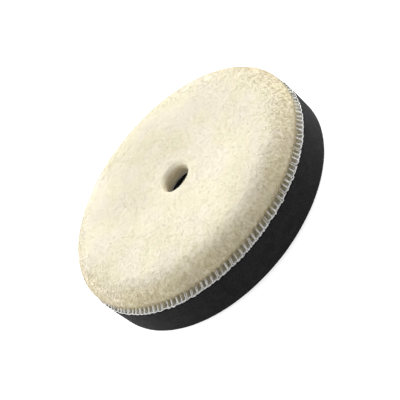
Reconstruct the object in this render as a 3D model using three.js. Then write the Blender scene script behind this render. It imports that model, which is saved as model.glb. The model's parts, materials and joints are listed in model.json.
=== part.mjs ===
// A foam-backed wool polishing pad for a dual-action polisher.
//
// Millimetres, +Z up. The pad lies on its loop face with the wool on top. The origin is the
// centre of the loop face, on the axis that every layer shares.
//
// The pad is a stack of glued layers, each of them a ring round the centre hole. A layer is
// described by its outline, which is the ring's cross-section: x is the radius from the pad's
// axis and y is the height above the loop face. Outlines run counter-clockwise, along the
// bottom from the hole, up the outside and back over the top.

import * as THREE from 'three';

// Radii, and how far the layers on each side of the foam stop short of its cut edge.
const foamRadius = 74.8;
const holeRadius = 11.4;
const seamSetback = 0.3;
const loopDiscSetback = 2.4;

// Layer thicknesses, from the loop face up.
const loopPileHeight = 1.0;
const loopGroundThickness = 0.5;
const rearFilmThickness = 0.3;
const foamThickness = 17.8;
const backingThickness = 0.8;
const woolHeight = 13.0;

// Adhesive films stop short of the layers' cut edges by this much.
const filmSetback = 1.2;

// Rounding of the foam's cut edges.
const foamRearRounding = 1.6;
const foamFaceRounding = 0.5;

// Three-thread overlock seam round the backing's edge. The wool-side thread climbs over the
// foot of the pile, as high as it goes inwards, before it dives to the needle stitches.
const threadThickness = 0.4;
const stitchBite = 3.6;
const stitchClimb = 2.5;
const needleSeamWidth = 0.6;
const threadClearance = 0.3;

// Shape of the cut pile. It is widest a little above the seam and rounds over from there to
// the face, which dips a little towards the hole and rounds down into it.
const pileSetback = 1.1;
const widestAboveBacking = 5.1;
const rimRoundingWidth = 13.0;
const faceDipRadius = 58.0;
const faceDipDepth = 3.0;
const pileLeanIntoHole = 3.4;
const holeLipRounding = 3.2;

const segmentsPerTurn = 72;
const stepsPerFoamCurve = 2;
const stepsPerPileCurve = 4;

// The glue line over the foam is as deep as the thread that is pressed into it.
const faceFilmThickness = threadThickness;

// Heights of the joints between the layers.
const loopGroundBottom = loopPileHeight;
const rearFilmBottom = loopGroundBottom + loopGroundThickness;
const foamBottom = rearFilmBottom + rearFilmThickness;
const foamTop = foamBottom + foamThickness;
const backingBottom = foamTop + faceFilmThickness;
const backingTop = backingBottom + backingThickness;
const woolTop = backingTop + woolHeight;

// Outer edges of the layers.
const overlockedEdgeRadius = foamRadius - seamSetback;
const loopDiscRadius = foamRadius - loopDiscSetback;

// The seam's three threads, seen in section: the needle thread is a narrow line of stitches
// that ties both loopers to the backing, and the loopers cover the strip outside it and meet
// round the cut edge.
const edgeThreadRadius = overlockedEdgeRadius - threadThickness;
const backingRadius = edgeThreadRadius - threadClearance;
const needleSeamRadius = backingRadius - stitchBite;
const looperStartRadius = needleSeamRadius + needleSeamWidth / 2 + threadClearance;
const edgeMiddle = backingBottom + backingThickness / 2;

const stitchCrestRadius = edgeThreadRadius - stitchClimb;
const stitchCrestLevel = backingTop + stitchClimb;

// The pile's foot is squeezed under the climbing thread, and the pile clears the threads.
const pileOuterRadius = foamRadius - pileSetback;
const pileOverSeam = backingTop + threadThickness + threadClearance;
const seamReliefRadius = needleSeamRadius - needleSeamWidth / 2 - threadClearance;

/** Turns an outline about the pad's axis into a closed ring, and names it. */
function ring(name, outline, colour, roughness, stepsPerCurve = 1) {
  outline.closePath();
  const geometry = new THREE.LatheGeometry(outline.getPoints(stepsPerCurve), segmentsPerTurn);
  geometry.rotateX(Math.PI / 2);
  const material = new THREE.MeshStandardMaterial({ color: colour, roughness, metalness: 0 });
  const mesh = new THREE.Mesh(geometry, material);
  mesh.name = name;
  return mesh;
}

/** An outline with straight sides between its corners. */
function corneredOutline(corners) {
  const outline = new THREE.Path();
  outline.moveTo(...corners[0]);
  corners.slice(1).forEach((corner) => outline.lineTo(...corner));
  return outline;
}

/** The outline of a layer with square edges. */
function squareOutline(innerRadius, outerRadius, bottom, top) {
  return corneredOutline([
    [innerRadius, bottom],
    [outerRadius, bottom],
    [outerRadius, top],
    [innerRadius, top],
  ]);
}

/** The brushed loops that the backing plate's hooks grip. */
function loopPile() {
  const outline = squareOutline(holeRadius, loopDiscRadius, 0, loopGroundBottom);
  return ring('loop_pile', outline, 0x1b1b1d, 0.95);
}

/** The knitted ground that the loops stand on. */
function loopGroundFabric() {
  const outline = squareOutline(holeRadius, loopDiscRadius, loopGroundBottom, rearFilmBottom);
  return ring('loop_ground_fabric', outline, 0x242427, 0.9);
}

/** Hot-melt film between the loop fabric and the foam. */
function rearAdhesiveFilm() {
  const inner = holeRadius + filmSetback;
  const outer = loopDiscRadius - filmSetback;
  const outline = squareOutline(inner, outer, rearFilmBottom, foamBottom);
  return ring('rear_adhesive_film', outline, 0xb9b29a, 0.5);
}

/** The foam disc, with soft cut edges. */
function interfaceFoam() {
  const rearCentre = foamRadius - foamRearRounding;
  const faceCentre = foamRadius - foamFaceRounding;
  const outline = new THREE.Path();
  outline.moveTo(holeRadius, foamBottom);
  outline.lineTo(rearCentre, foamBottom);
  outline.absarc(rearCentre, foamBottom + foamRearRounding, foamRearRounding, -Math.PI / 2, 0);
  outline.absarc(faceCentre, foamTop - foamFaceRounding, foamFaceRounding, 0, Math.PI / 2);
  outline.lineTo(holeRadius, foamTop);
  return ring('interface_foam', outline, 0x252527, 0.95, stepsPerFoamCurve);
}

/** Hot-melt film between the foam and the backing. It ends inside the seam's lower thread. */
function faceAdhesiveFilm() {
  const inner = holeRadius + filmSetback;
  const outer = looperStartRadius - threadClearance;
  const outline = squareOutline(inner, outer, foamTop, backingBottom);
  return ring('face_adhesive_film', outline, 0xb9b29a, 0.5);
}

/** The knitted backing that the wool is looped through. */
function knitBacking() {
  const outline = squareOutline(holeRadius, backingRadius, backingBottom, backingTop);
  return ring('knit_backing', outline, 0xdcdad0, 0.9);
}

/** The straight row of needle stitches, on top of the backing. */
function overlockNeedleThread() {
  const inner = needleSeamRadius - needleSeamWidth / 2;
  const outer = needleSeamRadius + needleSeamWidth / 2;
  const outline = squareOutline(inner, outer, backingTop, backingTop + threadThickness);
  return ring('overlock_needle_thread', outline, 0xe8e6de, 0.8);
}

/** The looper thread on the wool side, from the backing's cut edge up over the pile's foot. */
function overlockUpperLooperThread() {
  const outline = corneredOutline([
    [edgeThreadRadius, edgeMiddle],
    [overlockedEdgeRadius, edgeMiddle],
    [overlockedEdgeRadius, backingTop + threadThickness],
    [stitchCrestRadius, stitchCrestLevel + 2 * threadThickness],
    [stitchCrestRadius, stitchCrestLevel],
    [edgeThreadRadius, backingTop],
  ]);
  return ring('overlock_upper_looper_thread', outline, 0xeceae3, 0.8);
}

/** The looper thread on the foam side, which turns up to meet the other at the cut edge. */
function overlockLowerLooperThread() {
  const outline = corneredOutline([
    [looperStartRadius, foamTop],
    [overlockedEdgeRadius, foamTop],
    [overlockedEdgeRadius, edgeMiddle - threadClearance],
    [edgeThreadRadius, edgeMiddle - threadClearance],
    [edgeThreadRadius, backingBottom],
    [looperStartRadius, backingBottom],
  ]);
  return ring('overlock_lower_looper_thread', outline, 0xe4e2da, 0.8);
}

/** The cut wool pile: a dipped face, a rounded rim, and a soft lip that leans into the hole. */
function woolPile() {
  const footRadius = stitchCrestRadius - threadClearance;
  const footLevel = stitchCrestLevel + 2 * threadThickness + threadClearance;
  const squeezedRadius = edgeThreadRadius - threadThickness - 3 * threadClearance;
  const widestLevel = backingTop + widestAboveBacking;
  const flankLevel = (footLevel + widestLevel) / 2;
  const rimCentre = pileOuterRadius - rimRoundingWidth;
  const lipRadius = holeRadius - pileLeanIntoHole;
  const lipCentre = lipRadius + holeLipRounding;
  const lipTop = woolTop - faceDipDepth;
  const lipLevel = lipTop - holeLipRounding;
  const dipMiddle = (faceDipRadius + lipCentre) / 2;
  const outline = new THREE.Path();
  outline.moveTo(holeRadius, backingTop);
  outline.lineTo(seamReliefRadius, backingTop);
  outline.lineTo(seamReliefRadius, pileOverSeam);
  outline.lineTo(squeezedRadius, pileOverSeam);
  outline.lineTo(footRadius, stitchCrestLevel - threadClearance);
  outline.lineTo(footRadius, footLevel);
  outline.quadraticCurveTo(pileOuterRadius, flankLevel, pileOuterRadius, widestLevel);
  outline.absellipse(rimCentre, widestLevel, rimRoundingWidth, woolTop - widestLevel, 0, Math.PI / 2);
  outline.lineTo(faceDipRadius, woolTop);
  outline.bezierCurveTo(dipMiddle, woolTop, dipMiddle, lipTop, lipCentre, lipTop);
  outline.absarc(lipCentre, lipLevel, holeLipRounding, Math.PI / 2, Math.PI);
  outline.quadraticCurveTo(lipRadius, (backingTop + lipLevel) / 2, holeRadius, backingTop);
  return ring('wool_pile', outline, 0xf2ead0, 1.0, stepsPerPileCurve);
}

const pad = new THREE.Group();
pad.add(
  loopPile(),
  loopGroundFabric(),
  rearAdhesiveFilm(),
  interfaceFoam(),
  faceAdhesiveFilm(),
  knitBacking(),
  overlockNeedleThread(),
  overlockUpperLooperThread(),
  overlockLowerLooperThread(),
  woolPile(),
);

export default pad;
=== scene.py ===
# %% [markdown]
# # A foam-backed wool polishing pad
#
# The pad is a glued and sewn stack of soft discs. From the floor up it has brushed loops on a
# knitted ground, a black foam disc, a knitted backing with an overlocked edge, and a thick
# cut pile of cream wool that rounds over at the rim, dips a little towards the centre hole and
# leans into it.
#
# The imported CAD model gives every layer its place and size. Each step below takes one layer,
# reads its box from that model, and makes the fine shape and the finish that the plain solid
# leaves out.

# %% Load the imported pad
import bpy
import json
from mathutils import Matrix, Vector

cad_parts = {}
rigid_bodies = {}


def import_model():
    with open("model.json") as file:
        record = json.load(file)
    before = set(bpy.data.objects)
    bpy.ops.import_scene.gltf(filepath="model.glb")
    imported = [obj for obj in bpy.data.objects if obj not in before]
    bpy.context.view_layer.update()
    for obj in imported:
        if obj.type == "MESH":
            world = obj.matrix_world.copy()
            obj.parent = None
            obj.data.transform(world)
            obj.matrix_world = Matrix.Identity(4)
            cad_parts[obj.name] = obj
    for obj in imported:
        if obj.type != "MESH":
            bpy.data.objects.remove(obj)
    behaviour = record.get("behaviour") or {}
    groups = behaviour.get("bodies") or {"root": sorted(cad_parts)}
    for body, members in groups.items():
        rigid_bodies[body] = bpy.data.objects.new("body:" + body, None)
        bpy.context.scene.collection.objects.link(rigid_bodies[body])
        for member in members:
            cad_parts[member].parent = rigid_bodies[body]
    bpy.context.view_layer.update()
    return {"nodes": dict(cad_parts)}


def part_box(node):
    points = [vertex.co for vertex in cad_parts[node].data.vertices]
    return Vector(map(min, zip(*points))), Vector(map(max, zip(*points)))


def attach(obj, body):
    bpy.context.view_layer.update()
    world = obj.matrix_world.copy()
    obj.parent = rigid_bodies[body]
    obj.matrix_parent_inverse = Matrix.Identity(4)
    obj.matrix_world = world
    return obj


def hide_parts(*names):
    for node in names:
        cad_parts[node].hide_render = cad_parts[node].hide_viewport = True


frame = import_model()
print("CAD nodes:", sorted(frame["nodes"]))

# %% Tools for the whole lesson
import json
import math

import bmesh
import bpy
import numpy as np
from mathutils import Quaternion, Vector, noise

MM = 0.001
FULL_TURN = 2 * math.pi
QUARTER_TURN = math.pi / 2

# %% [markdown]
# ## The measures that every layer shares
#
# A layer's box gives its outer radius and the heights of its two faces. The radius of the
# centre hole isn't in any box, so it is measured on the foam's own corners.

# %% Read the layers' places from the frame
_, pile_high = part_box("wool_pile")
backing_low, backing_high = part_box("knit_backing")
_, seam_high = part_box("overlock_upper_looper_thread")
_, needle_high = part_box("overlock_needle_thread")
foam_low, foam_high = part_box("interface_foam")
ground_low, ground_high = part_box("loop_ground_fabric")
loops_low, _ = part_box("loop_pile")


def inner_radius(node):
    """The radius of the hole through a CAD ring."""
    return min(math.hypot(v.co.x, v.co.y) for v in frame["nodes"][node].data.vertices)


HOLE_RADIUS = inner_radius("interface_foam")
LIP_RADIUS = inner_radius("wool_pile")
print(f"hole {2000 * HOLE_RADIUS:.1f} mm across, pile lip {2000 * LIP_RADIUS:.1f} mm")

# %% [markdown]
# ## Camera
#
# The camera looks down on the wool at a little over a third of a right angle, from some 435 mm
# away, and it is rolled, so the pad's axis leans to the upper left of the picture. Its place is
# counted from the seam, because the seam's white line is the sharpest edge on the pad.

# %% Place the camera
CAMERA_BACK = 381.2 * MM
CAMERA_ABOVE_SEAM = 239.3 * MM
CAMERA_LENS = 76.8
CAMERA_ROLL = math.radians(-50.8)
AIM_SIDE = -0.8 * MM
AIM_FRONT = -17.4 * MM

seam_level = (backing_low.z + backing_high.z) / 2
camera_place = Vector((0, -CAMERA_BACK, seam_level + CAMERA_ABOVE_SEAM))
aim = Vector((AIM_SIDE, AIM_FRONT, seam_level))
look = (aim - camera_place).to_track_quat("-Z", "Y")

camera = bpy.data.objects.new("camera", bpy.data.cameras.new("camera"))
camera.data.lens = CAMERA_LENS
camera.location = camera_place
camera.rotation_euler = (look @ Quaternion((0, 0, 1), CAMERA_ROLL)).to_euler()
bpy.context.scene.collection.objects.link(camera)
bpy.context.scene.camera = camera
print("camera to seam centre:", round((aim - camera_place).length, 3), "m")

# %% [markdown]
# ## Floor and light
#
# The pad lies on a plain white floor under a soft sky. A low panel stands on each side, a
# little behind the pad, and a large one hangs over its far side. So the face and the ends of
# the rim are bright, and the near side falls into soft shade, darker the steeper it gets. The
# floor is kept out of the bounced light, or it would fill that shade, and it glows a little
# itself, which keeps the pad's shadow on it faint.

# %% Make the floor
FLOOR_WIDTH = 12.0
FLOOR_WHITE = (0.93, 0.93, 0.93, 1)
FLOOR_ROUGHNESS = 0.9
FLOOR_GLOW = 0.75

floor_shape = bmesh.new()
bmesh.ops.create_grid(floor_shape, x_segments=1, y_segments=1, size=FLOOR_WIDTH / 2)
floor_mesh = bpy.data.meshes.new("floor")
floor_shape.to_mesh(floor_mesh)
floor_shape.free()
floor = bpy.data.objects.new("floor", floor_mesh)
bpy.context.scene.collection.objects.link(floor)
floor.visible_diffuse = False

floor_paint = bpy.data.materials.new("floor_paint")
floor_paint.use_nodes = True
floor_shader = floor_paint.node_tree.nodes["Principled BSDF"]
floor_shader.inputs["Base Color"].default_value = FLOOR_WHITE
floor_shader.inputs["Roughness"].default_value = FLOOR_ROUGHNESS
floor_shader.inputs["Emission Color"].default_value = (1, 1, 1, 1)
floor_shader.inputs["Emission Strength"].default_value = FLOOR_GLOW
floor_mesh.materials.append(floor_paint)
print("floor:", FLOOR_WIDTH, "m wide")

# %% Light the pad
SKY_STRENGTH = 0.58
SKY_WHITE = (1.0, 0.995, 0.985, 1)
RIGHT_PANEL = {"place": Vector((0.80, 0.42, 0.20)), "power": 8.6, "width": 0.7, "height": 0.36}
LEFT_PANEL = {"place": Vector((-0.75, 0.48, 0.20)), "power": 6.6, "width": 0.7, "height": 0.36}
BACK_PANEL = {"place": Vector((0.0, 0.75, 0.80)), "power": 4.6, "width": 1.1, "height": 0.8}

bpy.context.scene.view_settings.view_transform = "Standard"
sky = bpy.data.worlds.new("studio_sky")
sky.use_nodes = True
sky.node_tree.nodes["Background"].inputs["Color"].default_value = SKY_WHITE
sky.node_tree.nodes["Background"].inputs["Strength"].default_value = SKY_STRENGTH
bpy.context.scene.world = sky


def add_panel(name, place, power, width, height):
    """A soft rectangular light that faces the pad."""
    light = bpy.data.lights.new(name, "AREA")
    light.energy = power
    light.shape = "RECTANGLE"
    light.size = width
    light.size_y = height
    panel = bpy.data.objects.new(name, light)
    panel.location = place
    panel.rotation_euler = (aim - place).to_track_quat("-Z", "Y").to_euler()
    bpy.context.scene.collection.objects.link(panel)
    print(f"{name}: {power} W, {(aim - place).length:.2f} m from the pad")


add_panel("right_panel", **RIGHT_PANEL)
add_panel("left_panel", **LEFT_PANEL)
add_panel("back_panel", **BACK_PANEL)

# %% [markdown]
# ## Helpers for turned layers
#
# Every layer is a ring about one axis, so each starts as an outline, a closed loop of points
# given by their radius and height, that is spun a full turn.

# %% Spin an outline into a ring
WEDGES = 12
SAME_PLACE = 0.001 * MM


def spin_ring(outline, steps):
    """A closed ring, as a bmesh, from (radius, height) points in counter-clockwise order.

    One wedge is spun first, and its copies then fill the turn, which is many times faster."""
    shape = bmesh.new()
    corners = [shape.verts.new((radius, 0, height)) for radius, height in outline]
    edges = [shape.edges.new((a, b)) for a, b in zip(corners, corners[1:] + corners[:1])]
    about_axis = {"cent": (0, 0, 0), "axis": (0, 0, 1)}
    wedge = FULL_TURN / WEDGES
    bmesh.ops.spin(shape, geom=corners + edges, angle=wedge, steps=steps // WEDGES, **about_axis)
    everything = shape.verts[:] + shape.edges[:] + shape.faces[:]
    rest = {"angle": FULL_TURN - wedge, "steps": WEDGES - 1, "use_duplicate": True}
    bmesh.ops.spin(shape, geom=everything, **rest, **about_axis)
    bmesh.ops.remove_doubles(shape, verts=shape.verts, dist=SAME_PLACE)
    bmesh.ops.recalc_face_normals(shape, faces=shape.faces)
    return shape


def arc(centre, radii, start, end, steps):
    """(radius, height) points along part of an ellipse, both ends included."""
    turns = np.linspace(start, end, steps)
    return [(centre[0] + radii[0] * math.cos(t), centre[1] + radii[1] * math.sin(t)) for t in turns]


def straight(start, end, steps):
    """(radius, height) points along a line, without its last point."""
    shares = np.linspace(0, 1, steps, endpoint=False)
    return [(start[0] + f * (end[0] - start[0]), start[1] + f * (end[1] - start[1])) for f in shares]


# %% Put a finished mesh in the scene
def mesh_of(shape, name):
    """Turns a bmesh into a mesh."""
    mesh = bpy.data.meshes.new(name)
    shape.to_mesh(mesh)
    shape.free()
    return mesh


def add_piece(mesh, name, material):
    """Makes a mesh a named, smoothly shaded piece that rides with the pad."""
    mesh.materials.clear()
    mesh.materials.append(material)
    mesh.polygons.foreach_set("use_smooth", [True] * len(mesh.polygons))
    piece = bpy.data.objects.new(name, mesh)
    bpy.context.scene.collection.objects.link(piece)
    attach(piece, "root")
    print(f"{name}: {sum(len(p.vertices) - 2 for p in mesh.polygons)} triangles")
    return piece


# %% Read a mesh's numbers in one go
def coordinates(mesh):
    """All vertex places, as rows of x, y, z."""
    places = np.empty(3 * len(mesh.vertices), np.float32)
    mesh.vertices.foreach_get("co", places)
    return places.reshape(-1, 3)


def normals(mesh):
    """All vertex normals, as rows."""
    directions = np.empty(3 * len(mesh.vertices), np.float32)
    mesh.vertex_normals.foreach_get("vector", directions)
    return directions.reshape(-1, 3)


def grain(points, size):
    """Smooth noise between about -1 and 1, with lumps of the given size."""
    return np.array([noise.noise(Vector(point)) for point in np.asarray(points) / size])


def ease(values, low, high):
    """0 below low, 1 above high, and a smooth step between."""
    share = np.clip((values - low) / (high - low), 0, 1)
    return share * share * (3 - 2 * share)


# %% Helpers for materials
# A Mix node has float, vector and colour sockets of the same names, so its colour sockets are
# found by number.
MIX_FIRST_COLOUR = 6
MIX_SECOND_COLOUR = 7
MIX_COLOUR = 2


def new_material(name):
    """An empty node material: the material, its node tree and its shader."""
    material = bpy.data.materials.new(name)
    material.use_nodes = True
    return material, material.node_tree, material.node_tree.nodes["Principled BSDF"]


def object_place(tree):
    """A socket with the surface point's own place, in metres."""
    return tree.nodes.new("ShaderNodeTexCoord").outputs["Object"]


def add_texture(tree, kind, place, scale, **inputs):
    """A procedural texture node read at a place socket."""
    node = tree.nodes.new(kind)
    node.inputs["Scale"].default_value = scale
    for name, value in inputs.items():
        node.inputs[name].default_value = value
    tree.links.new(place, node.inputs["Vector"])
    return node


def add_ramp(tree, source, stops):
    """A colour ramp on a source socket: stops are (position, colour)."""
    ramp = tree.nodes.new("ShaderNodeValToRGB")
    elements = ramp.color_ramp.elements
    elements.remove(elements[1])
    elements[0].position = stops[0][0]
    elements[0].color = (*stops[0][1], 1)
    for position, colour in stops[1:]:
        elements.new(position).color = (*colour, 1)
    tree.links.new(source, ramp.inputs["Fac"])
    return ramp.outputs["Color"]


def multiply_colours(tree, factor, first, second):
    """Darkens one colour socket by another, as far as the factor says."""
    mix = tree.nodes.new("ShaderNodeMix")
    mix.data_type = "RGBA"
    mix.blend_type = "MULTIPLY"
    mix.inputs["Factor"].default_value = factor
    tree.links.new(first, mix.inputs[MIX_FIRST_COLOUR])
    tree.links.new(second, mix.inputs[MIX_SECOND_COLOUR])
    return mix.outputs[MIX_COLOUR]


def add_bump(tree, shader, height, distance, strength=1.0):
    """Bumps the shader's surface by a height socket, with its depth in metres."""
    bump = tree.nodes.new("ShaderNodeBump")
    bump.inputs["Distance"].default_value = distance
    bump.inputs["Strength"].default_value = strength
    tree.links.new(height, bump.inputs["Height"])
    tree.links.new(bump.outputs["Normal"], shader.inputs["Normal"])


# %% [markdown]
# ## The wool's finish
#
# Lambswool is matt, warm and a little uneven: faint yellow, pink and green patches a centimetre
# or two wide, a finer mottle, and roots that are a little greyer than the tips. Shade is painted
# into the colour as well: the wool is painted browner on the steep side of the rim, and darker
# and greyer by the seam, in the gaps between tufts, in the streaks' valleys and in the hole's
# pleats. Two numbers stored on the mesh steer the colour. "depth" holds this painted shade,
# together with the roots' greying, and "tone" is a small chance difference from lock to lock. A
# light sheen stands in for the glow of loose fibres, and a fine bump for the fibres themselves.

# %% Make the wool material
WOOL_TIP = (0.930, 0.884, 0.725)
WOOL_WARM = (0.925, 0.870, 0.690)
WOOL_GREEN = (0.900, 0.878, 0.690)
WOOL_PINK = (0.925, 0.870, 0.745)
# Painted shade: the next three colours stand for shade, browner on the steep side of the rim and darker
# and greyer in the gaps, by the seam and in the pleats; the darkest also holds the roots' own greying.
WOOL_SHADE = (0.880, 0.805, 0.620)
WOOL_GAP_SHADE = (0.460, 0.455, 0.400)
WOOL_ROOT_AND_SHADE = (0.200, 0.205, 0.185)
WOOL_SPECKLE = (0.93, 0.93, 0.92)
WOOL_DULL_LOCK = (0.95, 0.94, 0.92)
PLAIN_WHITE = (1.0, 1.0, 1.0)

PATCH_SCALE = 55
MOTTLE_SCALE = 420
FIBRE_SCALE = 2600


def wool_material():
    """Matt cream wool, tinted by patches and mottle and by the mesh's tone, and darkened by its painted
    shade in depth.
    """
    material, tree, shader = new_material("wool")
    place = object_place(tree)
    patches = add_texture(tree, "ShaderNodeTexNoise", place, PATCH_SCALE, Detail=3.0)
    patch_stops = [(0.36, WOOL_PINK), (0.48, WOOL_TIP), (0.56, WOOL_WARM), (0.68, WOOL_GREEN)]
    colour = add_ramp(tree, patches.outputs["Fac"], patch_stops)
    mottle = add_texture(tree, "ShaderNodeTexNoise", place, MOTTLE_SCALE, Detail=4.0)
    speckle = add_ramp(tree, mottle.outputs["Fac"], [(0.30, WOOL_SPECKLE), (0.62, PLAIN_WHITE)])
    colour = multiply_colours(tree, 0.6, colour, speckle)

    tone = tree.nodes.new("ShaderNodeAttribute")
    tone.attribute_name = "tone"
    lock_tint = add_ramp(tree, tone.outputs["Fac"], [(0.0, WOOL_DULL_LOCK), (1.0, PLAIN_WHITE)])
    colour = multiply_colours(tree, 0.8, colour, lock_tint)
    # The "depth" attribute is the painted shade: the ramp below darkens the wool by it.
    depth = tree.nodes.new("ShaderNodeAttribute")
    depth.attribute_name = "depth"
    shade_stops = [(0.0, PLAIN_WHITE), (0.25, WOOL_SHADE), (0.6, WOOL_GAP_SHADE), (1.0, WOOL_ROOT_AND_SHADE)]
    shade = add_ramp(tree, depth.outputs["Fac"], shade_stops)
    colour = multiply_colours(tree, 1.0, colour, shade)
    tree.links.new(colour, shader.inputs["Base Color"])

    fibres = add_texture(tree, "ShaderNodeTexNoise", place, FIBRE_SCALE, Detail=3.0)
    add_bump(tree, shader, fibres.outputs["Fac"], 0.08 * MM, 0.5)
    shader.inputs["Roughness"].default_value = 1.0
    shader.inputs["Specular IOR Level"].default_value = 0.1
    shader.inputs["Sheen Weight"].default_value = 0.45
    shader.inputs["Sheen Roughness"].default_value = 0.5
    shader.inputs["Sheen Tint"].default_value = (1.0, 0.97, 0.9, 1)
    return material


wool = wool_material()
print("wool finish:", len(wool.node_tree.nodes), "nodes")

# %% [markdown]
# ## The pile's skin
#
# Cut wool pile is millions of fibres, far too many to model one by one. What the eye reads is
# its outer skin: a rim that rounds over, a face that dips towards the middle, and a wall that
# leans into the hole. The skin is one outline, from the seam up the flank, over the rim, across
# the face and down into the hole. It is spun into a ring with six steps to each stitch, which
# is enough for the tufts between the stitches.

# %% Draw the skin's outline
PILE_RADIUS = pile_high.x
PILE_TOP = pile_high.z
PILE_ROOT = backing_high.z
SEAM_RADIUS = seam_high.x
NEEDLE_RADIUS = needle_high.x
STITCHES = 150
STEPS_PER_STITCH = 6

CREST_RADIUS = SEAM_RADIUS - 2.9 * MM
CREST_LEVEL = PILE_ROOT + 2.5 * MM
ABOVE_CREST = 0.4 * MM
FOOT_RADIUS = SEAM_RADIUS - 1.1 * MM
WIDEST_HEIGHT = 5.1 * MM
RIM_WIDTH = 13.0 * MM
DIP_RADIUS = 58.0 * MM
DIP_DEPTH = 3.0 * MM
LIP_ROUNDING = 3.2 * MM
LOCK_COVER = 0.3 * MM

SQUEEZED_STEPS = 12
FLANK_STEPS = 14
RIM_STEPS = 34
FACE_STEPS = 4
DIP_STEPS = 54
LIP_STEPS = 12
WALL_STEPS = 16
UNDERSIDE_STEPS = 8

widest_level = PILE_ROOT + WIDEST_HEIGHT
rim_centre = PILE_RADIUS - RIM_WIDTH
lip_centre = LIP_RADIUS + LIP_ROUNDING
lip_top = PILE_TOP - DIP_DEPTH
lip_level = lip_top - LIP_ROUNDING


def skin_outline(inset):
    """The pile's skin, inset under the locks' tips, as (radius, height) from seam to hole."""
    crest = (CREST_RADIUS - inset, CREST_LEVEL + ABOVE_CREST)
    squeezed = straight((FOOT_RADIUS - inset, PILE_ROOT), crest, SQUEEZED_STEPS)
    flank_size = (PILE_RADIUS - inset - crest[0], widest_level - crest[1])
    flank = arc((crest[0], widest_level), flank_size, -QUARTER_TURN, 0, FLANK_STEPS)
    rim_size = (RIM_WIDTH - inset, PILE_TOP - inset - widest_level)
    rim = arc((rim_centre, widest_level), rim_size, 0, QUARTER_TURN, RIM_STEPS)
    face = straight(rim[-1], (DIP_RADIUS, PILE_TOP - inset), FACE_STEPS)
    fall = ease(np.linspace(0, 1, DIP_STEPS, endpoint=False), 0, 1)
    dip_radii = np.linspace(DIP_RADIUS, lip_centre, DIP_STEPS, endpoint=False)
    dip = [(radius, PILE_TOP - inset - DIP_DEPTH * share) for radius, share in zip(dip_radii, fall)]
    lip_size = (LIP_ROUNDING - inset, LIP_ROUNDING - inset)
    lip = arc((lip_centre, lip_level), lip_size, QUARTER_TURN, math.pi, LIP_STEPS)
    lean = lip[-1][0] - HOLE_RADIUS
    rise = lip[-1][1] - PILE_ROOT
    wall = [
        (HOLE_RADIUS + lean * math.sin(QUARTER_TURN * share), PILE_ROOT + rise * share)
        for share in np.linspace(1, 0, WALL_STEPS)
    ]
    return squeezed + flank[:-1] + rim[:-1] + face + dip + lip[:-1] + wall


skin = skin_outline(LOCK_COVER)
underside = straight((HOLE_RADIUS, PILE_ROOT), skin[0], UNDERSIDE_STEPS)[1:]
print(f"skin: {len(skin)} points from the seam to the foot of the hole")

# %% [markdown]
# ## Tufts, streaks and lumps
#
# The skin isn't smooth. On the face it has faint lumps a couple of millimetres wide. Round the
# rim the fibres comb outwards and down, which draws the lumps out into streaks. By the seam
# each stitch holds the pile down, so it stands in tufts with deep gaps between them. In the
# hole the wall has fine upright pleats. Each of these is a height that is worked out from
# where a vertex lies, and all of them move it along its normal. The same places also set a
# painted shade, kept in "depth": it darkens the gaps, the pleats, the streaks' valleys, the
# foot by the seam and the steep side.

# %% Find the stitch that a place belongs to
STITCH_LEAN = 0.35
LEAN_HEIGHT = 3.0 * MM
SLOW_WANDER = 0.20
QUICK_WANDER = 0.15
GAP_SHARE = 0.25
GAP_DEEPNESS = 0.75
GAP_CHANCE = 0.5


def rim_wheel(turn):
    """Points on a circle of the pile's radius, so that noise on them joins up after a turn."""
    return np.stack([np.cos(turn), np.sin(turn), np.zeros_like(turn)], -1) * PILE_RADIUS


def stitch_wander(turn):
    """How far the stitches at a turn stray from their even spacing, as a share of a stitch."""
    wheel = rim_wheel(turn)
    return SLOW_WANDER * grain(wheel, 12 * MM) + QUICK_WANDER * grain(wheel, 4 * MM)


def stitch_phase(turn, height, wander):
    """Where a place lies in its stitch, from 0 to 1, with the thread at 0."""
    return (turn / FULL_TURN * STITCHES - STITCH_LEAN * height / LEAN_HEIGHT - wander) % 1.0


def stitch_gap(phase, turn):
    """About 1 in the middle of a gap between two tufts, and near 0 at the thread."""
    deepness = GAP_DEEPNESS + GAP_CHANCE * grain(rim_wheel(turn), 5 * MM)
    return deepness * np.exp(-(((phase - 0.5) / GAP_SHARE) ** 2))


# %% Work out the relief
LUMP_SIZE = 2.4 * MM
FINE_LUMP_SIZE = 1.1 * MM
SWELL_SIZE = 26 * MM
STREAK_ACROSS = 1.1 * MM
STREAK_ALONG = 6.0 * MM
PLEATS_IN_HOLE = 57
PLEATS_DRIFT = 20 * MM

LUMP_HEIGHT = 0.05
FINE_LUMP_HEIGHT = 0.03
SWELL_HEIGHT = 0.25
SWELL_ON_RIM = 0.6
STREAK_HEIGHT = 0.08
TUFT_RISE = 0.15
GAP_SINK = 0.7
PLEAT_HEIGHT = 0.22

# How much painted shade each part gets; on the face it is only a faint even tint.
FACE_DEPTH = 0.03
# Painted shade in the valleys between the rim's streaks.
STREAK_VALLEY_SHADE = 0.06
# Painted shade on the foot of the pile by the seam.
SEAM_PAINTED_SHADE = 0.10
# Painted shade on the steep side of the rim.
STEEP_SIDE_PAINTED_SHADE = 0.12
# Painted shade in the gaps between the tufts by the seam.
SQUEEZED_PAINTED_SHADE = 0.22
GAP_PAINTED_SHADE = 0.36
# Painted shade in the valleys between the hole's pleats.
PLEAT_VALLEY_SHADE = 0.18
DARKEST_PAINTED_SHADE = 0.9


def steepness(radius):
    """0 on the face, and 1 where the rim is steepest."""
    return ease(radius, rim_centre + 4 * MM, PILE_RADIUS - 1 * MM)


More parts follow.
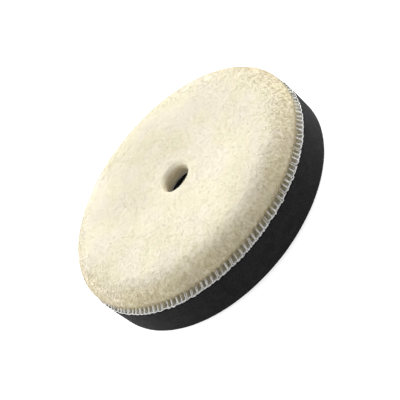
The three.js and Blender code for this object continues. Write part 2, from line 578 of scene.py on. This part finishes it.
def relief(places):
    """The skin's relief at each place: how far to move along the normal, and the painted shade."""
    radius = np.hypot(places[:, 0], places[:, 1])
    turn = np.arctan2(places[:, 1], places[:, 0])
    height = places[:, 2] - PILE_ROOT
    on_rim = ease(radius, rim_centre, PILE_RADIUS - 3 * MM)
    near_hole = radius < HOLE_RADIUS + 1 * MM
    in_hole = near_hole * (1 - ease(places[:, 2], lip_level, lip_top))
    on_face = (1 - on_rim) * (1 - in_hole)
    outside = ease(radius, HOLE_RADIUS + 30 * MM, rim_centre)
    by_seam = (1 - ease(height, 2.0 * MM, 6.0 * MM)) * outside
    squeezed = (1 - ease(height, 1.5 * MM, 4.0 * MM)) * outside

    lumps = LUMP_HEIGHT * grain(places, LUMP_SIZE)
    lumps += FINE_LUMP_HEIGHT * grain(places, FINE_LUMP_SIZE)
    swell = SWELL_HEIGHT * grain(places, SWELL_SIZE)
    combed = rim_wheel(turn)
    combed[:, 2] = (radius - 2 * height) * STREAK_ACROSS / STREAK_ALONG
    streaks = grain(combed, STREAK_ACROSS)
    gap = stitch_gap(stitch_phase(turn, height, stitch_wander(turn)), turn)
    pleats = np.cos(PLEATS_IN_HOLE * turn + 1.5 * grain(rim_wheel(turn), PLEATS_DRIFT))

    move = on_face * (lumps + swell)
    move += on_rim * (STREAK_HEIGHT * streaks + lumps + SWELL_ON_RIM * swell)
    move += by_seam * (TUFT_RISE - GAP_SINK * gap) + in_hole * PLEAT_HEIGHT * pleats
    # Painted shade: depth darkens the streaks' valleys, the foot by the seam, the steep side, the gaps
    # between tufts and the pleats' valleys.
    depth = FACE_DEPTH * on_face - STREAK_VALLEY_SHADE * on_rim * streaks + SEAM_PAINTED_SHADE * by_seam
    depth += STEEP_SIDE_PAINTED_SHADE * steepness(radius) + squeezed * (SQUEEZED_PAINTED_SHADE + GAP_PAINTED_SHADE * gap)
    depth += in_hole * PLEAT_VALLEY_SHADE * (1 - pleats) * (1 - ease(height, 6 * MM, 10 * MM))
    return move * MM, np.clip(depth, 0, DARKEST_PAINTED_SHADE)


# %% Make the pile's body
ROOT_MARGIN = 0.1 * MM

pile_body = mesh_of(spin_ring(skin + underside, STITCHES * STEPS_PER_STITCH), "pile_body")
body_places = coordinates(pile_body)
# relief also gives each vertex its painted shade.
body_move, body_painted_shade = relief(body_places)
above_root = body_places[:, 2] > PILE_ROOT + ROOT_MARGIN
body_places += normals(pile_body) * (body_move * above_root)[:, None]
body_faces = [list(face.vertices) for face in pile_body.polygons]
print(f"pile body: relief from {1000 * body_move.min():.2f} to {1000 * body_move.max():.2f} mm")

# %% [markdown]
# ## Locks of wool
#
# Over the body lie tens of thousands of fine locks, each a few fibres that have stuck
# together. One lock is modelled: a three-sided taper, cut across so that it can bend. Every
# copy starts inside the pile and comes out at a low angle. On the face the locks point every
# way, on the rim they comb outwards and down, and round the hole they point into it. A copy
# follows the skin because its corners are placed by how far along the outline and round the
# axis they lie. Longer and thicker locks hang over the stitches and make the tufts there.

# %% Model one lock
LOCK_RINGS = 4
LOCK_TIP = 0.02


def lock_template():
    """One lock along Z, from 0 to 1, with a half-width of 1 at its root."""
    shape = bmesh.new()
    bmesh.ops.create_cone(shape, cap_ends=True, segments=3, radius1=1, radius2=LOCK_TIP, depth=1)
    bmesh.ops.translate(shape, verts=shape.verts, vec=(0, 0, 0.5))
    for level in np.linspace(0, 1, LOCK_RINGS)[1:-1]:
        everything = shape.verts[:] + shape.edges[:] + shape.faces[:]
        bmesh.ops.bisect_plane(shape, geom=everything, plane_co=(0, 0, level), plane_no=(0, 0, 1))
    tip = [v for v in shape.verts if v.co.z > 1 - LOCK_TIP]
    bmesh.ops.pointmerge(shape, verts=tip, merge_co=(0, 0, 1))
    bmesh.ops.recalc_face_normals(shape, faces=shape.faces)
    return mesh_of(shape, "lock")


lock = lock_template()
lock_share = coordinates(lock)[:, 2]
lock_side = np.arctan2(coordinates(lock)[:, 1], coordinates(lock)[:, 0])
lock_faces = [list(face.vertices) for face in lock.polygons]
print(f"one lock: {len(lock_faces)} faces, {len(lock_share)} corners")

# %% Find places on the skin
tips = np.array(skin_outline(0.0))
tip_along = np.concatenate([[0], np.cumsum(np.linalg.norm(np.diff(tips, axis=0), axis=1))])
tip_slope = np.gradient(tips, axis=0)
tip_slope /= np.linalg.norm(tip_slope, axis=1)[:, None]


def skin_frame(along, turn):
    """The place on the skin, and its outward, onward and around directions."""
    radius, height = (np.interp(along, tip_along, tips[:, k]) for k in (0, 1))
    slope_r, slope_z = (np.interp(along, tip_along, tip_slope[:, k]) for k in (0, 1))
    cos, sin = np.cos(turn), np.sin(turn)
    place = np.stack([radius * cos, radius * sin, height], -1)
    outward = np.stack([slope_z * cos, slope_z * sin, -slope_r], -1)
    onward = np.stack([slope_r * cos, slope_r * sin, slope_z], -1)
    around = np.stack([-sin, cos, np.zeros_like(cos)], -1)
    return place, outward, onward, around


# %% Grow locks from their starts
SUNK = 0.8 * MM
WANDER = 0.45
CRIMP = 0.12
CRIMP_TURNS = 5.0
EARLY_RISE = 1.4
ROOT_GIRTH = 0.7
BELLY = 0.6
TAPER = 0.95
FLATNESS = 0.45
LOCKS_INTO_HOLE = 2.0 * MM

outer_side = tips[: SQUEEZED_STEPS + FLANK_STEPS]
crest_along = tip_along[np.argmin(np.abs(outer_side[:, 1] - CREST_LEVEL))]
lip_along = tip_along[-WALL_STEPS]
hole_along = lip_along + LOCKS_INTO_HOLE
print(f"outline: {1000 * tip_along[-1]:.0f} mm long, crest at {1000 * crest_along:.1f} mm")


def grow_locks(along, turn, heading, length, width, lift, reach, draw):
    """Corner places of a bent copy of the lock for each start, as (locks, corners, 3)."""
    count = len(along)
    share = lock_share[None, :]
    course = heading[:, None] + draw.normal(0, WANDER, (count, 1)) * share
    ahead = length[:, None] * share
    wave = CRIMP * ahead * np.sin(draw.random((count, 1)) * FULL_TURN + CRIMP_TURNS * share)
    along_there = along[:, None] + ahead * np.cos(course) - wave * np.sin(course)
    along_there = np.clip(along_there, reach[:, None], hole_along)
    radius_there = np.interp(along_there, tip_along, tips[:, 0])
    turn_there = turn[:, None] + (ahead * np.sin(course) + wave * np.cos(course)) / radius_there
    place, outward, onward, around = skin_frame(along_there, turn_there)

    risen = np.sin(QUARTER_TURN * np.minimum(1, EARLY_RISE * share))
    rise = (SUNK + lift[:, None]) * risen - SUNK
    girth = width[:, None] * (1 - TAPER * share**2) * (ROOT_GIRTH + BELLY * np.sin(math.pi * share))
    sideways = around * np.cos(course)[..., None] - onward * np.sin(course)[..., None]
    ring = sideways * np.cos(lock_side)[None, :, None]
    ring += FLATNESS * outward * np.sin(lock_side)[None, :, None]
    return place + outward * rise[..., None] + ring * girth[..., None]


# %% Scatter locks over the skin
LOCKS = 42000
LOCK_SEED = 7
COMB_SPREAD = 0.35

# Each size is the least, what chance adds at most, and what the rim adds.
LOCK_LENGTH = (0.6 * MM, 0.6 * MM, 1.4 * MM)
LOCK_WIDTH = (0.05 * MM, 0.04 * MM, 0.03 * MM)
LEAST_LIFT = 0.02 * MM
LIFT_CHANCE = 0.04 * MM
LIFT_CHANCE_ON_RIM = 0.05 * MM
REACH_CHANCE = 0.8 * MM
draw = np.random.default_rng(LOCK_SEED)

ring_area = np.concatenate([[0], np.cumsum(np.diff(tip_along) * (tips[1:, 0] + tips[:-1, 0]))])
flank_along = tip_along[np.argmax(tips[:, 0])]
first_area = np.interp(flank_along - 1.0 * MM, tip_along, ring_area)
last_area = np.interp(lip_along, tip_along, ring_area)
start = np.interp(draw.uniform(first_area, last_area, LOCKS), ring_area, tip_along)
start_turn = draw.random(LOCKS) * FULL_TURN
start_radius = np.interp(start, tip_along, tips[:, 0])
combed_out = ease(start_radius, rim_centre - 6 * MM, rim_centre + 6 * MM)
combed_in = 1 - ease(start_radius, lip_centre, lip_centre + 5 * MM)
combed = np.maximum(combed_out, combed_in)
heading = np.where(combed_out > combed_in, math.pi, 0.0)
heading += draw.normal(0, COMB_SPREAD, LOCKS) + (1 - combed) * (draw.random(LOCKS) - 0.5) * FULL_TURN


def chance_size(least, chance, on_rim):
    """One size for every lock."""
    return least + chance * draw.random(LOCKS) + on_rim * combed_out


lock_length = chance_size(*LOCK_LENGTH)
lock_width = chance_size(*LOCK_WIDTH)
lock_lift = LEAST_LIFT + (LIFT_CHANCE + LIFT_CHANCE_ON_RIM * combed_out) * draw.random(LOCKS)
lock_reach = crest_along - REACH_CHANCE * draw.random(LOCKS)
face_locks = grow_locks(
    start, start_turn, heading, lock_length, lock_width, lock_lift, lock_reach, draw
)
print(f"{LOCKS} locks over the skin")

# %% Hang tufts over the stitches
LOCKS_PER_TUFT = 40
TUFT_PINCH = 0.6
TUFT_SPREAD = 0.12
TUFT_REACH = 3.2 * MM

# The ranges that chance picks each size from, in millimetres.
TUFT_START = (-3.0, 1.5)
TUFT_LENGTH = (3.0, 6.5)
TUFT_WIDTH = (0.10, 0.20)
TUFT_LIFT = (0.10, 0.55)

fringe = STITCHES * LOCKS_PER_TUFT
fringe_turn = draw.random(fringe) * FULL_TURN
offset = stitch_phase(fringe_turn, LEAN_HEIGHT, stitch_wander(fringe_turn))
offset = np.where(offset > 0.5, offset - 1, offset)
fringe_turn -= TUFT_PINCH * offset * FULL_TURN / STITCHES
fringe_locks = grow_locks(
    flank_along + draw.uniform(*TUFT_START, fringe) * MM,
    fringe_turn,
    math.pi + draw.normal(0, TUFT_SPREAD, fringe),
    draw.uniform(*TUFT_LENGTH, fringe) * MM,
    draw.uniform(*TUFT_WIDTH, fringe) * MM,
    draw.uniform(*TUFT_LIFT, fringe) * MM,
    crest_along - TUFT_REACH * draw.random(fringe),
    draw,
)
print(f"{fringe} locks in the tufts")

# %% Work out the locks' tone and painted shade
# The roots' greying: partly the roots' own colour and partly painted shade, more on the rim.
ROOT_GREY_AND_SHADE = 0.04
ROOT_GREY_AND_SHADE_ON_RIM = 0.06
# Painted shade on the locks by the seam and in the gaps between tufts.
LOCK_SEAM_PAINTED_SHADE = 0.10
LOCK_GAP_PAINTED_SHADE = 0.45

locks = np.concatenate([face_locks, fringe_locks])
lock_tone = np.repeat(draw.random(len(locks)), len(lock_share))
lock_radius = np.hypot(locks[..., 0], locks[..., 1])
on_rim = ease(lock_radius, rim_centre, PILE_RADIUS)
lock_height = locks[..., 2] - PILE_ROOT
near_root = (1 - ease(lock_height, 1.5 * MM, 6 * MM)) * on_rim
root_turn = np.concatenate([start_turn, fringe_turn])
corner_turn = np.arctan2(locks[..., 1], locks[..., 0])
lock_phase = stitch_phase(corner_turn, lock_height, stitch_wander(root_turn)[:, None])
lock_gap = stitch_gap(lock_phase.T, root_turn).T
# Painted shade on the locks: their roots grey, partly as the roots' own colour and partly as shade, and
# the steep side and the gaps by the seam darken.
root_grey_and_shade = (ROOT_GREY_AND_SHADE + ROOT_GREY_AND_SHADE_ON_RIM * on_rim) * (1 - lock_share)[None, :] ** 1.5
lock_root_grey_and_shade = STEEP_SIDE_PAINTED_SHADE * steepness(lock_radius) + root_grey_and_shade
lock_root_grey_and_shade += near_root * (LOCK_SEAM_PAINTED_SHADE + LOCK_GAP_PAINTED_SHADE * lock_gap)
print(f"locks: depth from {lock_root_grey_and_shade.min():.2f} to {lock_root_grey_and_shade.max():.2f}")

# %% Join the body and the locks into one pile
BODY_TONE = 0.6

first_corner = len(body_places)
lock_starts = first_corner + np.arange(len(locks)) * len(lock_share)
copied_faces = [[start + corner for corner in face] for start in lock_starts for face in lock_faces]
pile_mesh = bpy.data.meshes.new("wool_cut_pile")
pile_mesh.from_pydata(np.concatenate([body_places, locks.reshape(-1, 3)]), [], body_faces + copied_faces)
tone = pile_mesh.attributes.new("tone", "FLOAT", "POINT")
tone.data.foreach_set("value", np.concatenate([np.full(first_corner, BODY_TONE), lock_tone]))
# depth carries the painted shade, with the locks' root greying.
depth = pile_mesh.attributes.new("depth", "FLOAT", "POINT")
depth.data.foreach_set("value", np.concatenate([body_painted_shade, lock_root_grey_and_shade.ravel()]))
wool_pile = add_piece(pile_mesh, "wool_cut_pile", wool)
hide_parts("wool_pile")

# %% [markdown]
# ## The overlocked edge
#
# The backing's edge is bound with a three-thread overlock stitch. The needle thread runs in a
# straight row inside the edge. The upper looper zigzags over the wool side, from a needle
# stitch over the foot of the pile to the edge and back, and the lower looper does the same on
# the foam side. The two loopers lock together along the cut edge, which makes the white line
# that shows. Each thread is one closed curve: a few points describe one stitch, a loop repeats
# them round the pad, and a bevel gives the curve its thickness. No two stitches are quite
# alike, so noise makes each of them sway along the edge and its points wobble.

# %% Make the thread's finish
PLY_SCALE = 1500
THREAD_DULL = (0.80, 0.79, 0.76)
THREAD_WHITE = (0.97, 0.965, 0.94)


def thread_material():
    """Off-white thread with a soft shine, mottled by its plies."""
    material, tree, shader = new_material("seam_thread")
    plies = add_texture(tree, "ShaderNodeTexNoise", object_place(tree), PLY_SCALE, Detail=3.0)
    colour = add_ramp(tree, plies.outputs["Fac"], [(0.32, THREAD_DULL), (0.50, THREAD_WHITE)])
    tree.links.new(colour, shader.inputs["Base Color"])
    add_bump(tree, shader, plies.outputs["Fac"], 0.12 * MM)
    shader.inputs["Roughness"].default_value = 0.45
    shader.inputs["Specular IOR Level"].default_value = 0.8
    shader.inputs["Sheen Weight"].default_value = 0.8
    shader.inputs["Sheen Roughness"].default_value = 0.3
    return material


seam_thread = thread_material()
print("thread finish:", len(seam_thread.node_tree.nodes), "nodes")


# %% Sew round the edge
STITCH_SWAY = 0.30
SWAY_RATE = 0.7
WOBBLE = 0.5 * MM
WOBBLE_RATE = 2.3
UPRIGHT_WOBBLE_ON_PILE = 2.0
UPRIGHT_WOBBLE_AT_EDGE = 0.5
WOBBLE_ROWS = (0.5, 7.5, 14.5)


def sew(name, stitch, thread_radius):
    """A closed thread through the same few (share, radius, height) points in every stitch."""
    curve = bpy.data.curves.new(name, "CURVE")
    curve.dimensions = "3D"
    curve.bevel_depth = thread_radius
    curve.bevel_resolution = 1
    curve.resolution_u = 3
    spline = curve.splines.new("BEZIER")
    spline.bezier_points.add(STITCHES * len(stitch) - 1)
    points = iter(spline.bezier_points)
    for number in range(STITCHES):
        sway = STITCH_SWAY * noise.noise((SWAY_RATE * number, 0, 0))
        for share, radius, height in stitch:
            turn = (number + share + sway) / STITCHES * FULL_TURN
            place = WOBBLE_RATE * (number + share)
            wobble = WOBBLE * Vector([noise.noise((place, row, row)) for row in WOBBLE_ROWS])
            on_pile = height > PILE_ROOT + 1 * MM
            wobble.z *= UPRIGHT_WOBBLE_ON_PILE if on_pile else UPRIGHT_WOBBLE_AT_EDGE
            point = next(points)
            point.co = Vector((radius * math.cos(turn), radius * math.sin(turn), height)) + wobble
            point.handle_left_type = "AUTO"
            point.handle_right_type = "AUTO"
    spline.use_cyclic_u = True
    holder = bpy.data.objects.new(name + "_curve", curve)
    mesh = bpy.data.meshes.new_from_object(holder)
    bpy.data.objects.remove(holder)
    piece = add_piece(mesh, name, seam_thread)
    return piece


THREAD = 0.23 * MM
on_top = backing_high.z + THREAD
below = backing_low.z - 0.6 * THREAD
print(f"a stitch is {1000 * FULL_TURN * SEAM_RADIUS / STITCHES:.2f} mm long")

# %% Sew the upper looper thread
OVER_PILE = 0.1 * MM
ABOVE_NEEDLE = 1.0 * MM
EDGE_TOP = seam_level + 0.42 * MM
EDGE_DROOP = seam_level + 0.25 * MM

crest_lean = STITCH_LEAN * (CREST_LEVEL - PILE_ROOT) / LEAN_HEIGHT
crest_level = CREST_LEVEL + OVER_PILE
slope_radius = (CREST_RADIUS + SEAM_RADIUS) / 2
slope_level = (CREST_LEVEL + PILE_ROOT) / 2 + OVER_PILE
upper_stitch = [
    (crest_lean, NEEDLE_RADIUS, on_top + ABOVE_NEEDLE),
    (crest_lean + 0.06, CREST_RADIUS, crest_level),
    (crest_lean / 2 + 0.09, slope_radius, slope_level),
    (0.15, SEAM_RADIUS, EDGE_TOP),
    (0.50, SEAM_RADIUS, EDGE_DROOP),
    (0.85, SEAM_RADIUS, EDGE_TOP),
    (0.91 + crest_lean / 2, slope_radius, slope_level),
    (0.94 + crest_lean, CREST_RADIUS, crest_level),
]
upper_looper = sew("seam_upper_looper_stitches", upper_stitch, THREAD)
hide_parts("overlock_upper_looper_thread")

# %% Sew the lower looper thread
LOOP_END = NEEDLE_RADIUS + 0.6 * MM
TURN_UP = SEAM_RADIUS - 0.8 * MM
EDGE_SIDE = SEAM_RADIUS - 0.1 * MM
EDGE_LOW = seam_level - 0.30 * MM
EDGE_MEET = seam_level - 0.05 * MM

lower_stitch = [
    (0.50, LOOP_END, below),
    (0.66, TURN_UP, below),
    (0.76, EDGE_SIDE, EDGE_LOW),
    (1.00, SEAM_RADIUS, EDGE_MEET),
    (1.24, EDGE_SIDE, EDGE_LOW),
    (1.34, TURN_UP, below),
]
lower_looper = sew("seam_lower_looper_stitches", lower_stitch, 0.95 * THREAD)
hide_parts("overlock_lower_looper_thread")

# %% Sew the needle thread
needle_line = NEEDLE_RADIUS - 0.3 * MM
needle_stitch = [
    (0.02, needle_line, backing_high.z),
    (0.25, needle_line, on_top),
    (0.75, needle_line, on_top),
    (0.98, needle_line, backing_high.z),
]
needle_row = sew("seam_needle_stitches", needle_stitch, 0.8 * THREAD)
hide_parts("overlock_needle_thread")

# %% [markdown]
# ## The knitted backing
#
# The backing is a firm off-white knit. Only its cut edges show, as a thin pale ring in the
# hole and between the stitches, but it is a whole disc. It is spun from a square outline with
# softened corners, and its edge is roughened a little, because cut knit frays.

# %% Make a knit's finish
ROWS_PER_RIB = 0.8


def knit_material(name, light, furrow_shade, ribs_scale):
    """A knit, with ribs one way and rows the other, and painted shade in the furrows between them."""
    material, tree, shader = new_material(name)
    place = object_place(tree)
    rows_scale = ROWS_PER_RIB * ribs_scale
    ribs = add_texture(tree, "ShaderNodeTexWave", place, ribs_scale, Distortion=1.5, Detail=2.0)
    rows = add_texture(tree, "ShaderNodeTexWave", place, rows_scale, Distortion=1.0, Detail=2.0)
    rows.bands_direction = "Y"
    knit = tree.nodes.new("ShaderNodeMath")
    knit.operation = "MULTIPLY"
    tree.links.new(ribs.outputs["Fac"], knit.inputs[0])
    tree.links.new(rows.outputs["Fac"], knit.inputs[1])
    # Painted shade: the colour darkens where the bump sinks, in the furrows between ribs and rows.
    colour = add_ramp(tree, knit.outputs[0], [(0.1, furrow_shade), (0.7, light)])
    tree.links.new(colour, shader.inputs["Base Color"])
    add_bump(tree, shader, knit.outputs[0], 0.15 * MM)
    shader.inputs["Roughness"].default_value = 0.9
    shader.inputs["Sheen Weight"].default_value = 0.15
    return material


# %% Draw a flat ring
CORNER = 0.15 * MM


def slab_outline(inner, outer, bottom, top, rows):
    """A flat ring's outline, with softened corners and rows of points across its faces."""
    corners = [
        (inner + CORNER, bottom),
        (outer - CORNER, bottom),
        (outer, bottom + CORNER),
        (outer, top - CORNER),
        (outer - CORNER, top),
        (inner + CORNER, top),
        (inner, top - CORNER),
        (inner, bottom + CORNER),
    ]
    points = []
    for start, end, steps in zip(corners, corners[1:] + corners[:1], [rows, 1, 2, 1] * 2):
        points += straight(start, end, steps)
    return points


# %% Make the backing
KNIT_LIGHT = (0.80, 0.79, 0.75)
# The darker colour is the painted shade in the knit's furrows.
KNIT_FURROW_SHADE = (0.45, 0.44, 0.41)
BACKING_RIBS = 900
BACKING_STEPS = 720
ROWS_ACROSS = 10
FRAY = 0.12 * MM
FRAY_SIZE = 0.8 * MM

backing_radius = backing_high.x
backing_levels = (backing_low.z, backing_high.z)
backing_outline = slab_outline(HOLE_RADIUS, backing_radius, *backing_levels, ROWS_ACROSS)
backing_shape = spin_ring(backing_outline, BACKING_STEPS)
for vertex in backing_shape.verts:
    outwards = Vector((vertex.co.x, vertex.co.y, 0)).normalized()
    vertex.co += outwards * FRAY * noise.noise(vertex.co / FRAY_SIZE)
knit_cream = knit_material("knit_backing", KNIT_LIGHT, KNIT_FURROW_SHADE, BACKING_RIBS)
backing = add_piece(mesh_of(backing_shape, "backing_knit_disc"), "backing_knit_disc", knit_cream)
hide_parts("knit_backing")

# %% [markdown]
# ## The foam disc
#
# The foam is charcoal-black open-cell foam, cut with a hot wire, so its side is nearly smooth
# and quite matt, with fine pores. The ring is spun with small rounded corners and its skin is
# moved by noise, which leaves shallow dents, and the finest pores are in the bump, with their
# shade painted darker into the colour.

# %% Make the foam's finish
PORE_SHADE_BLACK = (0.006, 0.006, 0.0065)
FOAM_BLACK = (0.020, 0.020, 0.0215)
CLOUD_DARK = (0.75, 0.75, 0.77)
CLOUD_LIGHT = (1.2, 1.2, 1.22)
PORE_SCALE = 1500
CLOUD_SCALE = 260


def foam_material():
    """Matt charcoal foam with fine pores, their shade painted darker, and a faint cloudiness."""
    material, tree, shader = new_material("foam")
    place = object_place(tree)
    cells = add_texture(tree, "ShaderNodeTexVoronoi", place, PORE_SCALE)
    dust = add_texture(tree, "ShaderNodeTexNoise", place, CLOUD_SCALE, Detail=5.0)
    # The pores' shade is painted: the colour is darkest at each cell's middle, where the bump sinks.
    pores = add_ramp(tree, cells.outputs["Distance"], [(0.12, PORE_SHADE_BLACK), (0.6, FOAM_BLACK)])
    cloud = add_ramp(tree, dust.outputs["Fac"], [(0.3, CLOUD_DARK), (0.7, CLOUD_LIGHT)])
    tree.links.new(multiply_colours(tree, 1.0, pores, cloud), shader.inputs["Base Color"])
    add_bump(tree, shader, cells.outputs["Distance"], 0.25 * MM, 0.7)
    shader.inputs["Roughness"].default_value = 0.92
    shader.inputs["Specular IOR Level"].default_value = 0.12
    return material


# %% Draw the foam's outline
FOAM_REAR_ROUNDING = 1.6 * MM
FOAM_FACE_ROUNDING = 0.5 * MM
REAR_EDGE_STEPS = 6
FACE_EDGE_STEPS = 4
UPRIGHT_STEPS = 24
FOAM_REAR_STEPS = 14
FOAM_FACE_STEPS = 10

foam_radius = foam_high.x
rear_centre = (foam_radius - FOAM_REAR_ROUNDING, foam_low.z + FOAM_REAR_ROUNDING)
face_centre = (foam_radius - FOAM_FACE_ROUNDING, foam_high.z - FOAM_FACE_ROUNDING)
rear_size = (FOAM_REAR_ROUNDING, FOAM_REAR_ROUNDING)
face_size = (FOAM_FACE_ROUNDING, FOAM_FACE_ROUNDING)
rear_edge = arc(rear_centre, rear_size, -QUARTER_TURN, 0, REAR_EDGE_STEPS)
face_edge = arc(face_centre, face_size, 0, QUARTER_TURN, FACE_EDGE_STEPS)
hole_foot = (HOLE_RADIUS, foam_low.z)
hole_top = (HOLE_RADIUS, foam_high.z)
foam_outline = (
    straight(hole_foot, rear_edge[0], FOAM_REAR_STEPS)
    + rear_edge[:-1]
    + straight(rear_edge[-1], face_edge[0], UPRIGHT_STEPS)
    + face_edge[:-1]
    + straight(face_edge[-1], hole_top, FOAM_FACE_STEPS)
    + straight(hole_top, hole_foot, UPRIGHT_STEPS)
)
print(f"foam outline: {len(foam_outline)} points")

# %% Make the foam disc
FOAM_STEPS = 720
EDGE_MARGIN = 0.2 * MM
PORE_DENT = 0.05
PORE_DENT_SIZE = 0.9 * MM
WIDE_DENT = 0.06
WIDE_DENT_SIZE = 6 * MM

foam_mesh = mesh_of(spin_ring(foam_outline, FOAM_STEPS), "foam_disc")
foam_places = coordinates(foam_mesh)
foam_levels = foam_places[:, 2]
on_side = (foam_levels > foam_low.z + EDGE_MARGIN) & (foam_levels < foam_high.z - EDGE_MARGIN)
dents = PORE_DENT * grain(foam_places, PORE_DENT_SIZE)
dents += WIDE_DENT * (grain(foam_places, WIDE_DENT_SIZE) - 1)
foam_places += normals(foam_mesh) * (MM * dents * on_side)[:, None]
foam_mesh.vertices.foreach_set("co", foam_places.ravel())
foam_disc = add_piece(foam_mesh, "foam_disc", foam_material())
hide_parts("interface_foam")

# %% [markdown]
# ## The loop fabric
#
# The side away from the wool grips the polisher's hook plate. It is a thin black knit with a
# brushed pile of tiny loops. The ground is spun like the backing, and one loop, half a ring
# of three-sided thread, is copied over it with its feet in the ground and chance turns.

# %% Make one loop
LOOP_THREAD = 0.12 * MM
LOOP_WIDTH = 0.55 * MM
LOOP_STEPS = 4


def loop_template():
    """Half a ring of three-sided thread that hangs down from its two feet, at height 0."""
    shape = bmesh.new()
    section = bmesh.ops.create_circle(shape, cap_ends=True, segments=3, radius=LOOP_THREAD)
    bmesh.ops.translate(shape, verts=section["verts"], vec=(LOOP_WIDTH, 0, 0))
    bmesh.ops.spin(
        shape,
        geom=shape.faces[:],
        cent=(0, 0, 0),
        axis=(0, 1, 0),
        angle=math.pi,
        steps=LOOP_STEPS,
    )
    bmesh.ops.recalc_face_normals(shape, faces=shape.faces)
    return mesh_of(shape, "loop")


loop = loop_template()
loop_places = coordinates(loop)
loop_faces = [list(face.vertices) for face in loop.polygons]
print("one loop:", len(loop_faces), "faces, from", loop_places.min(0), "to", loop_places.max(0))

# %% Make the loops' ground
LOOP_LIGHT = (0.030, 0.030, 0.033)
# The darker colour is the painted shade in the knit's furrows.
LOOP_FURROW_SHADE = (0.008, 0.008, 0.009)
GROUND_RIBS = 1100
GROUND_STEPS = 360

knit_black = knit_material("loop_fabric", LOOP_LIGHT, LOOP_FURROW_SHADE, GROUND_RIBS)
ground_radius = ground_high.x
ground_levels = (ground_low.z, ground_high.z)
ground_outline = slab_outline(HOLE_RADIUS, ground_radius, *ground_levels, ROWS_ACROSS)
ground_mesh = mesh_of(spin_ring(ground_outline, GROUND_STEPS), "loop_ground_knit")
ground = add_piece(ground_mesh, "loop_ground_knit", knit_black)
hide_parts("loop_ground_fabric")

# %% Brush the loops over the ground
LOOPS = 6200
LOOP_SEED = 11
LOOP_LEAN = 0.45
SHORTEST_LOOP = 0.75
loop_draw = np.random.default_rng(LOOP_SEED)

inner_limit = HOLE_RADIUS + LOOP_WIDTH
outer_limit = ground_radius - LOOP_WIDTH
spots = np.sqrt(loop_draw.uniform(inner_limit**2, outer_limit**2, LOOPS))
spot_turns = loop_draw.random(LOOPS) * FULL_TURN
facing = loop_draw.random(LOOPS)[:, None] * FULL_TURN
lean = loop_draw.normal(0, LOOP_LEAN, LOOPS)[:, None]
drop = ground_low.z - loops_low.z
full_stretch = (drop - LOOP_THREAD) / (LOOP_WIDTH + LOOP_THREAD)
stretch = full_stretch * loop_draw.uniform(SHORTEST_LOOP, 1.0, LOOPS)[:, None]
hang = -np.abs(loop_places[None, :, 2]) * stretch
reach_x = loop_places[None, :, 0]
reach_y = loop_places[None, :, 1] - hang * lean
loop_x = (spots * np.cos(spot_turns))[:, None] + reach_x * np.cos(facing) - reach_y * np.sin(facing)
loop_y = (spots * np.sin(spot_turns))[:, None] + reach_x * np.sin(facing) + reach_y * np.cos(facing)
loop_z = ground_low.z + 0.5 * LOOP_THREAD + hang
all_loops = np.stack([loop_x, loop_y, np.broadcast_to(loop_z, loop_x.shape)], -1)
loop_starts = np.arange(LOOPS) * len(loop_places)
pile_faces = [[start + corner for corner in face] for start in loop_starts for face in loop_faces]
loops_mesh = bpy.data.meshes.new("loop_brushed_pile")
loops_mesh.from_pydata(all_loops.reshape(-1, 3), [], pile_faces)
brushed_loops = add_piece(loops_mesh, "loop_brushed_pile", knit_black)
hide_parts("loop_pile")

# %% [markdown]
# ## The glue lines
#
# Two webs of hot-melt glue hold the stack together. They are sealed inside the pad, so their
# plain CAD rings stay as they are, and they only get the glue's milky, webbed finish.

# %% Finish the adhesive films
WEB_SCALE = 700
GLUE_LIGHT = (0.62, 0.56, 0.42)
GLUE_DARK = (0.42, 0.38, 0.29)


def film_material():
    """Milky glue with a web in it."""
    material, tree, shader = new_material("adhesive_film")
    web = add_texture(tree, "ShaderNodeTexVoronoi", object_place(tree), WEB_SCALE)
    colour = add_ramp(tree, web.outputs["Distance"], [(0.1, GLUE_LIGHT), (0.5, GLUE_DARK)])
    tree.links.new(colour, shader.inputs["Base Color"])
    add_bump(tree, shader, web.outputs["Distance"], 0.1 * MM)
    shader.inputs["Roughness"].default_value = 0.45
    return material


film = film_material()
for node in ("face_adhesive_film", "rear_adhesive_film"):
    frame["nodes"][node].data.materials.clear()
    frame["nodes"][node].data.materials.append(film)
    print(node, "keeps its CAD mesh")
